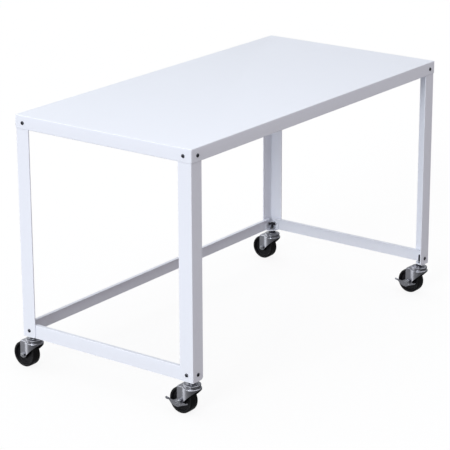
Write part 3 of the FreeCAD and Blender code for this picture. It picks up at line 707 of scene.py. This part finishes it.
def build_rivet(tree, given):
    """Low rounded rivet head on its seat at Z 0."""
    radius = times(tree, given["Head"], 0.5)
    blank = cylinder(tree, 16, 1, 4, radius, given["Dome"])
    flat, distance, parts = radial(tree)
    top = greater(tree, parts["Z"], 0.0)
    share = over(tree, distance, radius)
    level = choose(tree, top, 0.0, dome_height(tree, share, 0.97, 2.0, given["Dome"]))
    return shaded(tree, reshaped(tree, blank, flat, distance, level), 40.0)


def copies(name, tree, spots, numbers, material):
    """Run a tree on marked points and keep the result as a plain mesh."""
    mesh = bpy.data.meshes.new(f"{name}_points")
    mesh.from_pydata([tuple(spot) for spot, outward in spots], [], [])
    marks = mesh.attributes.new("outward", "FLOAT_VECTOR", "POINT")
    for value, (spot, outward) in zip(marks.data, spots):
        value.vector = outward
    piece = new_object(name, mesh)
    modifier = piece.modifiers.new("Copies", "NODES")
    modifier.node_group = tree
    sockets = {item.name: item.identifier for item in tree.interface.items_tree
               if item.in_out == "INPUT"}
    for label, value in numbers.items():
        modifier[sockets[label]] = value
    modifier[sockets["Material"]] = material
    graph = bpy.context.evaluated_depsgraph_get()
    solid = bpy.data.meshes.new_from_object(piece.evaluated_get(graph))
    piece.modifiers.remove(modifier)
    piece.data = solid
    return piece


def grouped_boxes(node):
    """Lowest and highest corner of each separate solid in a node's mesh."""
    shell = bmesh.new()
    shell.from_mesh(frame["nodes"][node].data)
    bmesh.ops.remove_doubles(shell, verts=shell.verts, dist=WELD)
    left = set(shell.verts)
    boxes = []
    while left:
        heap, island = [left.pop()], []
        while heap:
            vert = heap.pop()
            island.append(vert.co)
            for edge in vert.link_edges:
                other = edge.other_vert(vert)
                if other in left:
                    left.discard(other)
                    heap.append(other)
        boxes.append(tuple(Vector(pick(co[i] for co in island) for i in range(3))
                           for pick in (min, max)))
    shell.free()
    return boxes


def outward_of(low, high, node):
    """Direction out of the frame along a fastener's axis."""
    centre = (low + high) / 2
    size = high - low
    if node == "stem_nuts":
        return Vector((0, 0, 1))
    across = 0 if abs(size.y - size.z) < abs(size.x - size.z) else 1
    way = Vector((0, 0, 0))
    way[across] = math.copysign(1.0, centre[across])
    return way


def fasteners(node):
    """Centre, direction out of the frame and length of each fastener in a node."""
    for low, high in grouped_boxes(node):
        way = outward_of(low, high, node)
        yield (low + high) / 2, way, abs((high - low).dot(way))


def screw_spots(node, dome):
    """Seat of each screw's head, and the length of its shank."""
    spots, reach = [], []
    for centre, way, length in fasteners(node):
        spots.append((centre + way * (length / 2 - dome), way))
        reach.append(length - dome)
    return spots, reach


def nut_spots(node, turn):
    """Seat of each nut and the way it points; turn is -1 for nuts inside the frame."""
    return [(centre - way * turn * (length / 2), way * turn)
            for centre, way, length in fasteners(node)]


# ---- threads and wheels

def threaded_rod(name, radius, low, high, pitch, depth, centre, material):
    """A rod with a helical thread and chamfered ends, upright on a centre."""
    steps, rows = 36, 6
    profile = [0.0, 0.0, 0.5, 1.0, 1.0, 0.5]
    chamfer = depth * 1.4
    turns = int((high - low) / pitch) + 2
    count = turns * rows + 1
    shell = bmesh.new()
    columns = []
    for i in range(steps):
        points = []
        for k in range(count):
            level = low - pitch + (k / rows + i / steps) * pitch
            held = min(max(level, low), high)
            edge = min(held - low, high - held)
            points.append((radius - max(depth * profile[k % rows], chamfer - edge), held))
        columns.append(spoke(shell, centre, 2 * math.pi * i / steps, points))
    for i in range(steps):
        here, there = columns[i], columns[(i + 1) % steps]
        shift = 0 if i + 1 < steps else rows
        for k in range(count - 1 - shift):
            shell.faces.new((here[k], there[k + shift], there[k + 1 + shift], here[k + 1]))
    bmesh.ops.remove_doubles(shell, verts=shell.verts, dist=WELD)
    bmesh.ops.dissolve_degenerate(shell, dist=1e-6, edges=shell.edges)
    open_edges = [edge for edge in shell.edges if edge.is_boundary]
    bmesh.ops.holes_fill(shell, edges=open_edges, sides=0)
    bmesh.ops.recalc_face_normals(shell, faces=shell.faces)
    return mesh_of(shell, name, [material], 45.0)


def hex_collar(name, centre, material):
    """The stem's hex collar, with turned corners."""
    half, steps = COLLAR_FLATS / 2, 72
    crown = half * 1.03
    # A radius of None is the hexagon's own.
    rings = [(COLLAR_BOTTOM, 0.0), (COLLAR_BOTTOM, crown),
             (COLLAR_BOTTOM + COLLAR_CHAMFER, None), (COLLAR_TOP - COLLAR_CHAMFER, None),
             (COLLAR_TOP, crown), (COLLAR_TOP, 0.0)]
    shell = bmesh.new()
    rows = []
    for i in range(steps):
        angle = 2 * math.pi * i / steps
        hexed = half / math.cos(angle % (math.pi / 3) - math.pi / 6)
        rows.append(spoke(shell, centre, angle, [
            (hexed if reach is None else min(reach, hexed), along) for along, reach in rings]))
    for i in range(steps):
        here, there = rows[i], rows[(i + 1) % steps]
        for k in range(len(rings) - 1):
            shell.faces.new((here[k], there[k], there[k + 1], here[k + 1]))
    bmesh.ops.remove_doubles(shell, verts=shell.verts, dist=FINE_WELD)
    bmesh.ops.recalc_face_normals(shell, faces=shell.faces)
    return mesh_of(shell, name, [material], 25.0)


def joined(name, meshes):
    """One mesh out of several, with their materials kept."""
    shell = bmesh.new()
    materials = []
    for mesh in meshes:
        before = len(shell.faces)
        shell.from_mesh(mesh)
        shell.faces.ensure_lookup_table()
        slots = []
        for material in mesh.materials:
            if material not in materials:
                materials.append(material)
            slots.append(materials.index(material))
        for face in shell.faces[before:]:
            face.material_index = slots[face.material_index]
    return mesh_of(shell, name, materials)


def in_metres(section, base=0.0):
    """A section given in millimetres along and out from an axis, moved along it by a base."""
    return [(base + along * MM, reach * MM) for along, reach in section]


def wheel_rings():
    """Closed ring of a wheel's section: rounded tread, rim, recessed web and hub."""
    radius, face = 38.1, 14.3
    right = [(2.5, radius), (7.6, radius - 0.12), (10.8, radius - 0.4)]
    right += arc((11.4, 35.2), 2.8, 78, 4, 8)
    right += [(face, 34.2), (face, 32.6)]
    right += arc((face - 0.9, 32.0), 0.9, 15, -70, 5)
    right += [(11.4, 30.4), (9.4, 29.5)]
    right += arc((8.0, 27.6), 1.5, 70, 180, 6)
    right += [(6.5, 25.0), (6.5, 16.0)]
    right += arc((8.0, 15.0), 1.5, 180, 250, 4)
    right += [(9.0, 12.9), (12.6, 11.9)]
    right += arc((14.1, 10.6), 1.0, 80, 5, 4)
    right += [(15.1, 8.4), (15.0, 7.0), (14.4, 6.4), (14.4, 5.98)]
    left = [(-along, reach) for along, reach in reversed(right)]
    return in_metres(right + left)


def cap_rings():
    """Closed ring of a race cap's section: underside with its ball groove, rim, stepped top."""
    rings = [(0.0, 5.0), (0.0, 13.6), (0.9, 14.4), (0.9, 15.6), (0.0, 16.4)]
    rings += arc((0.5, 24.0), 0.5, 180, 90, 3)
    rings += [(3.0, 24.5)]
    rings += arc((3.3, 23.0), 1.5, 90, 10, 5)
    rings += [(4.9, 20.5), (5.1, 17.0)]
    rings += arc((6.6, 15.6), 1.3, 180, 270, 5)
    rings += [(7.2, 12.6), (7.2, 5.0)]
    return in_metres(rings, CAP_BOTTOM)


def wheel_material(rings):
    """Index of the material for each band of the wheel's section."""
    def pick(k):
        following = rings[(k + 1) % len(rings)]
        return 0 if min(rings[k][1], following[1]) > TYRE_INSIDE else 1
    return pick


# ---- operators

class SEWINGTABLE_OT_top(bpy.types.Operator):
    """Build the worktop pan and the channel under it"""

    bl_idname = "sewing_table.top"
    bl_label = "Worktop"

    def execute(self, context):
        painted_sheets(["top_panel", "top_stiffener"])
        return {"FINISHED"}


class SEWINGTABLE_OT_legs(bpy.types.Operator):
    """Build the four angle legs"""

    bl_idname = "sewing_table.legs"
    bl_label = "Legs"

    def execute(self, context):
        painted_sheets([f"leg_{corner}" for corner in CORNERS])
        return {"FINISHED"}


class SEWINGTABLE_OT_rails(bpy.types.Operator):
    """Build the three low rails and the foot brackets"""

    bl_idname = "sewing_table.rails"
    bl_label = "Rails and Brackets"

    def execute(self, context):
        painted_sheets(["rail_left", "rail_right", "rail_rear"])
        painted_sheets([f"bracket_{corner}" for corner in CORNERS])
        return {"FINISHED"}


class SEWINGTABLE_OT_screws(bpy.types.Operator):
    """Build the frame screws with domed heads"""

    bl_idname = "sewing_table.screws"
    bl_label = "Frame Screws"

    def execute(self, context):
        given = sizes()
        numbers = {"Head": given.screw_head, "Dome": given.screw_dome,
                   "Recess": given.screw_recess, "Shank": FRAME_THREAD}
        tree = geometry_tree("domed_screws", (*numbers, "Reach"), build_screw)
        for node in ("top_screws", "foot_screws"):
            spots, reach = screw_spots(node, given.screw_dome)
            values = dict(numbers, Reach=min(reach))
            piece = copies(f"{node}_finish", tree, spots, values, dark_zinc())
            settle(piece, "frame", "dark_zinc", node)
        return {"FINISHED"}


class SEWINGTABLE_OT_nuts(bpy.types.Operator):
    """Build the hex nuts behind the frame screws and on the stems"""

    bl_idname = "sewing_table.nuts"
    bl_label = "Nuts"

    def execute(self, context):
        given = sizes()
        small = (given.frame_nut, FRAME_NUT_HEIGHT, FRAME_THREAD)
        large = (given.stem_nut, STEM_NUT_HEIGHT, STEM_THREAD)
        tree = geometry_tree("hex_nuts", NUT_SIZES, build_nut)
        for node, nut, turn in (("top_nuts", small, -1), ("foot_nuts", small, -1),
                                ("stem_nuts", large, 1)):
            piece = copies(f"{node}_finish", tree, nut_spots(node, turn),
                           dict(zip(NUT_SIZES, nut)), bright_zinc())
            settle(piece, "frame", "bright_zinc", node)
        return {"FINISHED"}


class SEWINGTABLE_OT_stems(bpy.types.Operator):
    """Build the casters' stems: riveted pin, hex collar and thread"""

    bl_idname = "sewing_table.stems"
    bl_label = "Caster Stems"

    def execute(self, context):
        given = sizes()
        for corner in CORNERS:
            node = f"caster_stem_{corner}"
            low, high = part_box(node)
            centre = stem_axis(corner)
            foot, top = low[2], high[2]
            rod = threaded_rod(f"{node}_thread", STEM_THREAD / 2, COLLAR_TOP - 1.0 * MM, top,
                               given.thread_pitch, given.thread_depth, centre, dark_zinc())
            neck = foot + PIN_HEAD_HEIGHT
            pin = lathe(f"{node}_pin", [
                (foot, 0.0), (foot, 6.4 * MM), (foot + 0.5 * MM, 7.5 * MM),
                (foot + 1.2 * MM, PIN_HEAD_RADIUS), (neck, PIN_HEAD_RADIUS),
                (neck, PIN_RADIUS), (COLLAR_BOTTOM, PIN_RADIUS), (COLLAR_BOTTOM, 0.0),
            ], 40, "z", centre, [bright_zinc()])
            collar = hex_collar(f"{node}_collar", centre, dark_zinc())
            piece = new_object(f"{node}_finish", joined(node + "_solid", [rod, pin, collar]))
            settle(piece, "frame", "dark_zinc", node)
        return {"FINISHED"}


class SEWINGTABLE_OT_races(bpy.types.Operator):
    """Build the pressed caps over the swivel races"""

    bl_idname = "sewing_table.races"
    bl_label = "Race Caps"

    def execute(self, context):
        for corner in CORNERS:
            node = f"race_cap_{corner}"
            mesh = lathe(f"{node}_shell", cap_rings(), 96, "z", stem_axis(corner),
                         [pressed_steel()])
            settle(new_object(f"{node}_finish", mesh), "frame", "caster_steel", node)
        return {"FINISHED"}


class SEWINGTABLE_OT_balls(bpy.types.Operator):
    """Build the steel balls of the swivel races"""

    bl_idname = "sewing_table.balls"
    bl_label = "Race Balls"

    def execute(self, context):
        given = sizes()
        tree = geometry_tree("race_balls", ("Ball",), build_ball)
        for corner in CORNERS:
            node = f"race_balls_{corner}"
            centre, level = stem_axis(corner), box_centre(node).z
            spots = []
            for i in range(given.balls):
                angle = 2 * math.pi * i / given.balls
                ring = Vector((math.cos(angle), math.sin(angle), 0)) * RACE_RADIUS
                spots.append((centre + ring + Vector((0, 0, level)), Vector((0, 0, 1))))
            piece = copies(f"{node}_finish", tree, spots, {"Ball": given.ball}, ball_steel())
            settle(piece, f"swivel_{corner}", "ball_steel", node)
        return {"FINISHED"}


class SEWINGTABLE_OT_forks(bpy.types.Operator):
    """Build the pressed forks"""

    bl_idname = "sewing_table.forks"
    bl_label = "Forks"

    def execute(self, context):
        for corner in CORNERS:
            node = f"fork_{corner}"
            piece = sheet_copy(node, sizes().metal_round, pressed_steel(), 40.0)
            settle(piece, f"swivel_{corner}", "caster_steel", node)
        return {"FINISHED"}


class SEWINGTABLE_OT_axles(bpy.types.Operator):
    """Finish the axle bolts, their nuts, the bushings and the race washers"""

    bl_idname = "sewing_table.axles"
    bl_label = "Axles"

    def execute(self, context):
        plain = ["race_washers"]
        plain += [f"{kind}_{corner}" for corner in CORNERS
                  for kind in ("axle_bolt", "wheel_bushing")]
        for node in plain:
            for slot in frame["nodes"][node].material_slots:
                slot.material = bright_zinc()
        tree = geometry_tree("axle_nuts", NUT_SIZES, build_nut)
        for corner in CORNERS:
            node = f"axle_nut_{corner}"
            low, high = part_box(node)
            centre = axle_centre(corner)
            seat = Vector((high[0], centre.y, centre.z))
            nut = (AXLE_NUT_FLATS, high[0] - low[0], STEM_THREAD)
            piece = copies(f"{node}_finish", tree, [(seat, Vector((-1, 0, 0)))],
                           dict(zip(NUT_SIZES, nut)), bright_zinc())
            settle(piece, f"swivel_{corner}", "bright_zinc", node)
        return {"FINISHED"}


class SEWINGTABLE_OT_wheels(bpy.types.Operator):
    """Build the four wheels"""

    bl_idname = "sewing_table.wheels"
    bl_label = "Wheels"

    def execute(self, context):
        rings = wheel_rings()
        for corner in CORNERS:
            node = f"wheel_{corner}"
            mesh = lathe(f"{node}_shell", rings, sizes().wheel_steps, "x", axle_centre(corner),
                         [tyre_rubber(), core_rubber()], wheel_material(rings))
            settle(new_object(f"{node}_finish", mesh), f"rolling_{corner}", "wheel_black", node)
        return {"FINISHED"}


class SEWINGTABLE_OT_levers(bpy.types.Operator):
    """Build the brake levers of the front casters"""

    bl_idname = "sewing_table.levers"
    bl_label = "Brake Levers"

    def execute(self, context):
        rivet = {"Head": 3.4 * MM, "Dome": 1.0 * MM}
        tree = geometry_tree("lever_rivets", rivet, build_rivet)
        for corner in BRAKED:
            node = f"brake_lever_{corner}"
            piece = sheet_copy(node, sizes().metal_round, pressed_steel(), 25.0)
            settle(piece, f"brake_{corner}", "lever_steel", node)
            centre = axle_centre(corner)
            face = centre.x - LEVER_FACE
            spots = [(Vector((face, centre.y + y * MM, centre.z + z * MM)), Vector((-1, 0, 0)))
                     for y, z in LEVER_RIVETS]
            rivets = copies(f"lever_rivets_{corner}", tree, spots, rivet, bright_zinc())
            settle(rivets, f"brake_{corner}", "bright_zinc")
        return {"FINISHED"}


class SEWINGTABLE_OT_stage(bpy.types.Operator):
    """Set the floor, the lights and the camera"""

    bl_idname = "sewing_table.stage"
    bl_label = "Stage"

    def execute(self, context):
        make_floor()
        make_lights()
        make_camera()
        return {"FINISHED"}


def make_floor():
    """Pale floor that glows where the camera sees it, and that mirrors do not show."""
    material = bpy.data.materials.new("studio_floor")
    material.use_nodes = True
    tree = material.node_tree
    shader = tree.nodes["Principled BSDF"]
    seen = tree.nodes.new("ShaderNodeLightPath").outputs["Is Camera Ray"]
    pale = tuple(colours().floor)
    feed(tree, shader.inputs["Base Color"],
         mix_colour(tree, seen, shades(pale, FLOOR_LIT), shades(pale, FLOOR_SEEN)))
    shader.inputs["Roughness"].default_value = 0.9
    shader.inputs["Specular IOR Level"].default_value = 0.0
    feed(tree, shader.inputs["Emission Strength"], spread(tree, seen, 0.0, FLOOR_GLOW))
    shader.inputs["Emission Color"].default_value = (1.0, 1.0, 1.0, 1.0)
    shell = bmesh.new()
    bmesh.ops.create_grid(shell, x_segments=2, y_segments=2, size=40.0)
    floor = new_object("studio_floor", mesh_of(shell, "studio_floor", [material]))
    floor.visible_glossy = False


def make_lights():
    """A light tent, bright overhead and behind, and a low soft key from the left.

    Glossy rays also see a canopy and a backdrop, which give the plated metal its bands.
    """
    world = bpy.data.worlds.new("studio_room")
    world.use_nodes = True
    tree = world.node_tree
    room = tree.nodes["Background"]
    facing = tree.nodes.new("ShaderNodeTexCoord").outputs["Generated"]
    way = put(tree, "ShaderNodeSeparateXYZ", facing).outputs
    glow = plus(tree, ramp(tree, way["Z"], *OVERHEAD_GLOW), ramp(tree, way["Y"], *BEHIND_GLOW))
    panels = plus(tree, ramp(tree, way["Z"], *CANOPY_PANEL), ramp(tree, way["Y"], *BACKDROP_PANEL))
    mirrored = tree.nodes.new("ShaderNodeLightPath").outputs["Is Glossy Ray"]
    extra = times(tree, mirrored, plus(tree, panels, GLOSSY_BASE))
    feed(tree, room.inputs["Strength"], plus(tree, plus(tree, glow, ROOM_BASE), extra))
    cool = math_node(tree, "MINIMUM", times(tree, glow, 2.0), 1.0)
    cool = math_node(tree, "MAXIMUM", cool, mirrored)
    feed(tree, room.inputs["Color"], mix_colour(tree, cool, WARM_TINT, COOL_TINT))
    bpy.context.scene.world = world
    lamp = bpy.data.lights.new("key_light", "SUN")
    lamp.energy = KEY_STRENGTH
    lamp.angle = math.radians(KEY_SPREAD)
    lamp.color = KEY_COLOUR
    sun = new_object("key_light", lamp)
    sun.rotation_mode = "QUATERNION"
    sun.rotation_quaternion = KEY_TOWARD.to_track_quat("-Z", "Y")
    sun.location = -3.0 * KEY_TOWARD


def make_camera():
    """Long lens from the front left, a little above the worktop."""
    lens = bpy.data.cameras.new("camera")
    lens.sensor_width = 36.0
    lens.lens = LENS
    lens.shift_x, lens.shift_y = SHIFT_X, SHIFT_Y
    lens.clip_end = 200.0
    camera = new_object("camera", lens)
    azimuth, elevation, roll = (math.radians(angle) for angle in (AZIMUTH, ELEVATION, ROLL))
    level = math.cos(elevation)
    back = Vector((math.sin(azimuth) * level, -math.cos(azimuth) * level, math.sin(elevation)))
    camera.location = LOOK_AT + back * DISTANCE
    turn = (-back).to_track_quat("-Z", "Y").to_matrix().to_4x4() @ Matrix.Rotation(roll, 4, "Z")
    camera.rotation_mode = "QUATERNION"
    camera.rotation_quaternion = turn.to_quaternion()
    bpy.context.scene.camera = camera
    bpy.context.scene.view_settings.view_transform = "Standard"


STEPS = (
    SEWINGTABLE_OT_top, SEWINGTABLE_OT_legs, SEWINGTABLE_OT_rails, SEWINGTABLE_OT_screws,
    SEWINGTABLE_OT_nuts, SEWINGTABLE_OT_stems, SEWINGTABLE_OT_races, SEWINGTABLE_OT_balls,
    SEWINGTABLE_OT_forks, SEWINGTABLE_OT_axles, SEWINGTABLE_OT_wheels, SEWINGTABLE_OT_levers,
    SEWINGTABLE_OT_stage,
)


class SEWINGTABLE_PT_panel(bpy.types.Panel):
    """Sidebar panel that lists the table's pieces"""

    bl_idname = "SEWINGTABLE_PT_panel"
    bl_label = "Sewing Table"
    bl_space_type = "VIEW_3D"
    bl_region_type = "UI"
    bl_category = "Sewing Table"

    def draw(self, context):
        column = self.layout.column()
        for step in STEPS:
            column.operator(step.bl_idname)
        for settings in (context.scene.sewing_table_sizes, context.scene.sewing_table_colours):
            for name in settings.__annotations__:
                column.prop(settings, name)


CLASSES = (SewingTableSizes, SewingTableColours) + STEPS + (SEWINGTABLE_PT_panel,)


def register():
    for item in CLASSES:
        bpy.utils.register_class(item)
    bpy.types.Scene.sewing_table_sizes = PointerProperty(type=SewingTableSizes)
    bpy.types.Scene.sewing_table_colours = PointerProperty(type=SewingTableColours)


def unregister():
    del bpy.types.Scene.sewing_table_colours
    del bpy.types.Scene.sewing_table_sizes
    for item in reversed(CLASSES):
        bpy.utils.unregister_class(item)


def main():
    """Build every piece."""
    register()
    for step in STEPS:
        family, name = step.bl_idname.split(".")
        getattr(getattr(bpy.ops, family), name)()


if __name__ == "__main__":
    main()
